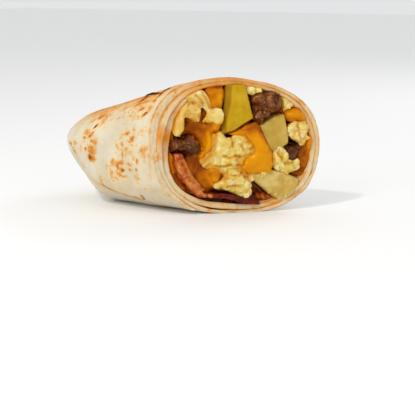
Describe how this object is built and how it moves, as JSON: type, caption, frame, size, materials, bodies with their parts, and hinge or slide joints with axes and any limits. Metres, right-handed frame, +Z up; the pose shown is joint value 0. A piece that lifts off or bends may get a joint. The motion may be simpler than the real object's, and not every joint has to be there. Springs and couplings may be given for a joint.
{
  "type": "breakfast wrap",
  "caption": "Half of a rolled flour tortilla wrap, cut on the slant, tucked shut at the far end and filled with scrambled egg, melted cheese, potato, sausage and bacon.",
  "frame": {"origin": "on the flat strip that the wrap rests on, under the middle of the roll", "axes": "+Y along the roll from the cut end to the tucked end, +X to the right seen from the cut end, +Z up"},
  "size_m": [0.0597, 0.122, 0.0614],
  "materials": {
    "tortilla": "dry, floury, browned in spots",
    "egg": "soft and moist",
    "cheese": "melted, glossy",
    "potato": "boiled, smooth where cut",
    "sausage": "browned and moist",
    "bacon": "fried, greasy"
  },
  "bodies": {
    "root": {"tortilla": "tortilla", "scrambled_egg": "egg", "melted_cheese_middle": "cheese", "melted_cheese_left": "cheese", "melted_cheese_right": "cheese", "potato_top": "potato", "potato_right": "potato", "potato_low": "potato", "sausage_top": "sausage", "sausage_left": "sausage", "sausage_right": "sausage", "bacon_left": "bacon", "bacon_low": "bacon"}
  },
  "joints": []
}
